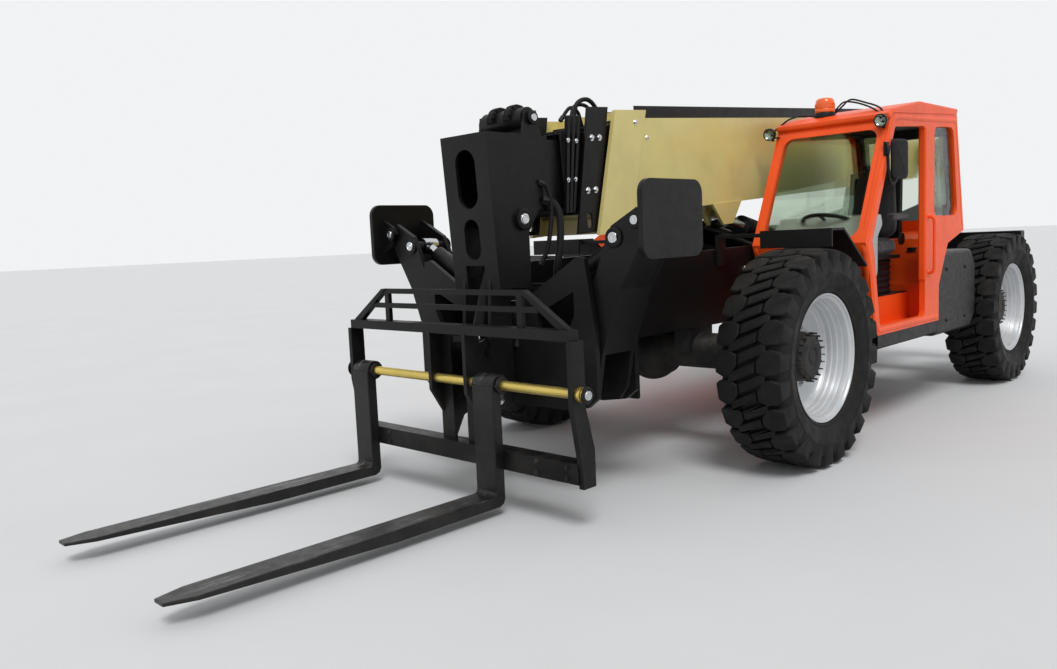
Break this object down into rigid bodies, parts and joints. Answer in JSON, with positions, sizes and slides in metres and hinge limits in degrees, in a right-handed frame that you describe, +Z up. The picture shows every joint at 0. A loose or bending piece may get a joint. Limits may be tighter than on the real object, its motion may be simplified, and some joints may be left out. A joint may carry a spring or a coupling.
{
  "type": "telehandler",
  "caption": "Rough-terrain telehandler with a telescopic boom, pallet forks, open cab, steered axles and folding stabilizers, parked with the boom lowered.",
  "frame": {"origin": "on the ground, under the middle of the machine's length and width", "axes": "+X forward towards the fork tips, +Y to the machine's left where the cab is, +Z up"},
  "size_m": [8.07, 2.57, 2.5154],
  "materials": {
    "orange_paint": "satin enamel",
    "cream_paint": "satin enamel",
    "black_paint": "satin enamel",
    "rim_paint": "silver enamel",
    "dark_iron": "painted casting",
    "rod_chrome": "polished",
    "zinc_yellow": "yellow zinc plate",
    "fork_steel": "satin enamel, worn on top",
    "tyre_rubber": "dusty",
    "black_plastic": "textured",
    "grey_plastic": "textured",
    "seat_cover": "woven and coated cloth",
    "amber_lens": "clear amber",
    "lamp_body": "black with clear lens",
    "clear_glass": "clear"
  },
  "bodies": {
    "chassis": {"frame_side_plates": "black_paint", "frame_crossmembers": "black_paint", "counterweight": "black_paint", "axle_housings": "dark_iron", "stabilizer_housing": "black_paint", "cab_side_frames": "orange_paint", "cab_end_frames": "orange_paint", "cab_roof": "orange_paint", "cab_floor": "orange_paint", "side_step": "black_paint", "cab_glass": "clear_glass", "operator_seat": "seat_cover", "dash_console": "grey_plastic", "steering_wheel": "black_plastic", "front_fenders": "black_plastic", "side_tank": "black_paint", "mirror": "black_plastic", "work_lamps": "lamp_body", "beacon": "amber_lens", "engine_pod": "orange_paint", "engine": "dark_iron"},
    "boom": {"boom_outer": "cream_paint", "hose_tray": "black_paint"},
    "second_section": {"boom_second": "black_paint"},
    "third_section": {"boom_third": "black_paint"},
    "inner_section": {"boom_inner": "black_paint", "boom_head": "black_paint"},
    "lift_cylinder_barrels": {"lift_barrels": "black_paint"},
    "lift_cylinder_rods": {"lift_rods": "rod_chrome"},
    "fork_carriage": {"carriage": "black_paint", "backrest": "black_paint", "fork_shaft": "zinc_yellow", "forks": "fork_steel"},
    "tilt_cylinder_barrel": {"tilt_barrel": "black_paint"},
    "tilt_cylinder_rod": {"tilt_rod": "rod_chrome"},
    "hood_cover": {"hood": "orange_paint"},
    "stabilizer_left": {"stabilizer_leg_left": "black_paint"},
    "foot_left": {"stabilizer_pad_left": "black_paint"},
    "stabilizer_cylinder_barrel_left": {"stabilizer_barrel_left": "black_paint"},
    "stabilizer_cylinder_rod_left": {"stabilizer_rod_left": "rod_chrome"},
    "stabilizer_right": {"stabilizer_leg_right": "black_paint"},
    "foot_right": {"stabilizer_pad_right": "black_paint"},
    "stabilizer_cylinder_barrel_right": {"stabilizer_barrel_right": "black_paint"},
    "stabilizer_cylinder_rod_right": {"stabilizer_rod_right": "rod_chrome"},
    "knuckle_front_left": {"knuckle_front_left": "dark_iron"},
    "wheel_front_left": {"rim_front_left": "rim_paint", "tyre_front_left": "tyre_rubber"},
    "knuckle_front_right": {"knuckle_front_right": "dark_iron"},
    "wheel_front_right": {"rim_front_right": "rim_paint", "tyre_front_right": "tyre_rubber"},
    "knuckle_rear_left": {"knuckle_rear_left": "dark_iron"},
    "wheel_rear_left": {"rim_rear_left": "rim_paint", "tyre_rear_left": "tyre_rubber"},
    "knuckle_rear_right": {"knuckle_rear_right": "dark_iron"},
    "wheel_rear_right": {"rim_rear_right": "rim_paint", "tyre_rear_right": "tyre_rubber"}
  },
  "joints": [
    {"name": "boom_lift", "type": "hinge", "parent": "chassis", "child": "boom", "pos_m": [-3.675, 0, 2.08], "axis": [0, -1, 0], "range_deg": [0, 70]},
    {"name": "boom_extend", "type": "slide", "parent": "boom", "child": "second_section", "axis": [0.9976, 0, -0.0698], "range_m": [0, 3.45]},
    {"name": "third_extend", "type": "slide", "parent": "second_section", "child": "third_section", "axis": [0.9976, 0, -0.0698], "range_m": [0, 3.45]},
    {"name": "inner_extend", "type": "slide", "parent": "third_section", "child": "inner_section", "axis": [0.9976, 0, -0.0698], "range_m": [0, 3.45]},
    {"name": "lift_barrel_swing", "type": "hinge", "parent": "chassis", "child": "lift_cylinder_barrels", "pos_m": [-2.525, 0, 0.98], "axis": [0, -1, 0], "range_deg": [-1, 75]},
    {"name": "lift_rod_slide", "type": "slide", "parent": "lift_cylinder_barrels", "child": "lift_cylinder_rods", "axis": [0.9782, 0, 0.2079], "range_m": [-0.005, 1.9]},
    {"name": "fork_tilt", "type": "hinge", "parent": "inner_section", "child": "fork_carriage", "pos_m": [2.095, 0, 0.56], "axis": [0, 1, 0], "range_deg": [-12, 90]},
    {"name": "tilt_barrel_swing", "type": "hinge", "parent": "inner_section", "child": "tilt_cylinder_barrel", "pos_m": [1.87542, 0, 1.51946], "axis": [0, 1, 0], "range_deg": [-12, 4]},
    {"name": "tilt_rod_slide", "type": "slide", "parent": "tilt_cylinder_barrel", "child": "tilt_cylinder_rod", "axis": [0.3075, 0, -0.9515], "range_m": [-0.06, 0.4]},
    {"name": "stabilizer_swing_left", "type": "hinge", "parent": "chassis", "child": "stabilizer_left", "pos_m": [1.735, 0.58, 0.62], "axis": [-1, 0, 0], "range_deg": [0, 99]},
    {"name": "foot_tilt_left", "type": "hinge", "parent": "stabilizer_left", "child": "foot_left", "pos_m": [1.735, 0.97, 1.48], "axis": [-1, 0, 0], "range_deg": [-12, 30]},
    {"name": "stabilizer_barrel_swing_left", "type": "hinge", "parent": "chassis", "child": "stabilizer_cylinder_barrel_left", "pos_m": [1.735, 0.1, 1], "axis": [-1, 0, 0], "range_deg": [-1, 65]},
    {"name": "stabilizer_rod_slide_left", "type": "slide", "parent": "stabilizer_cylinder_barrel_left", "child": "stabilizer_cylinder_rod_left", "axis": [0, 0.8712, 0.4908], "range_m": [-0.002, 0.65]},
    {"name": "stabilizer_swing_right", "type": "hinge", "parent": "chassis", "child": "stabilizer_right", "pos_m": [1.735, -0.58, 0.62], "axis": [1, 0, 0], "range_deg": [0, 99]},
    {"name": "foot_tilt_right", "type": "hinge", "parent": "stabilizer_right", "child": "foot_right", "pos_m": [1.735, -0.97, 1.48], "axis": [1, 0, 0], "range_deg": [-12, 30]},
    {"name": "stabilizer_barrel_swing_right", "type": "hinge", "parent": "chassis", "child": "stabilizer_cylinder_barrel_right", "pos_m": [1.735, -0.1, 1], "axis": [1, 0, 0], "range_deg": [-1, 65]},
    {"name": "stabilizer_rod_slide_right", "type": "slide", "parent": "stabilizer_cylinder_barrel_right", "child": "stabilizer_cylinder_rod_right", "axis": [0, -0.8712, 0.4908], "range_m": [-0.002, 0.65]},
    {"name": "steer_front_left", "type": "hinge", "parent": "chassis", "child": "knuckle_front_left", "pos_m": [0.475, 0.92, 0.645], "axis": [0, 0, 1], "range_deg": [-35, 35]},
    {"name": "roll_front_left", "type": "hinge", "parent": "knuckle_front_left", "child": "wheel_front_left", "pos_m": [0.475, 1.085, 0.645], "axis": [0, 1, 0], "continuous": true},
    {"name": "steer_front_right", "type": "hinge", "parent": "chassis", "child": "knuckle_front_right", "pos_m": [0.475, -0.92, 0.645], "axis": [0, 0, 1], "range_deg": [-35, 35]},
    {"name": "roll_front_right", "type": "hinge", "parent": "knuckle_front_right", "child": "wheel_front_right", "pos_m": [0.475, -1.085, 0.645], "axis": [0, 1, 0], "continuous": true},
    {"name": "steer_rear_left", "type": "hinge", "parent": "chassis", "child": "knuckle_rear_left", "pos_m": [-3.085, 0.92, 0.645], "axis": [0, 0, 1], "range_deg": [-35, 35]},
    {"name": "roll_rear_left", "type": "hinge", "parent": "knuckle_rear_left", "child": "wheel_rear_left", "pos_m": [-3.085, 1.085, 0.645], "axis": [0, 1, 0], "continuous": true},
    {"name": "steer_rear_right", "type": "hinge", "parent": "chassis", "child": "knuckle_rear_right", "pos_m": [-3.085, -0.92, 0.645], "axis": [0, 0, 1], "range_deg": [-35, 35]},
    {"name": "roll_rear_right", "type": "hinge", "parent": "knuckle_rear_right", "child": "wheel_rear_right", "pos_m": [-3.085, -1.085, 0.645], "axis": [0, 1, 0], "continuous": true},
    {"name": "hood_open", "type": "hinge", "parent": "chassis", "child": "hood_cover", "pos_m": [-1.315, -0.46, 1.475], "axis": [-1, 0, 0], "range_deg": [0, 60]}
  ],
  "couplings": [
    {"joint": "third_extend", "follows": "boom_extend", "ratio": 1},
    {"joint": "inner_extend", "follows": "boom_extend", "ratio": 1},
    {"joint": "lift_barrel_swing", "follows": "boom_lift", "ratio": 0.99564},
    {"joint": "lift_rod_slide", "follows": "boom_lift", "m_per_rad": 1.4942},
    {"joint": "tilt_barrel_swing", "follows": "fork_tilt", "ratio": -0.10663},
    {"joint": "tilt_rod_slide", "follows": "fork_tilt", "m_per_rad": 0.23407},
    {"joint": "stabilizer_barrel_swing_left", "follows": "stabilizer_swing_left", "ratio": 0.60988},
    {"joint": "stabilizer_rod_slide_left", "follows": "stabilizer_swing_left", "m_per_rad": 0.34817},
    {"joint": "stabilizer_barrel_swing_right", "follows": "stabilizer_swing_right", "ratio": 0.60988},
    {"joint": "stabilizer_rod_slide_right", "follows": "stabilizer_swing_right", "m_per_rad": 0.34817},
    {"joint": "steer_front_right", "follows": "steer_front_left", "ratio": 1},
    {"joint": "steer_rear_right", "follows": "steer_rear_left", "ratio": 1}
  ]
}
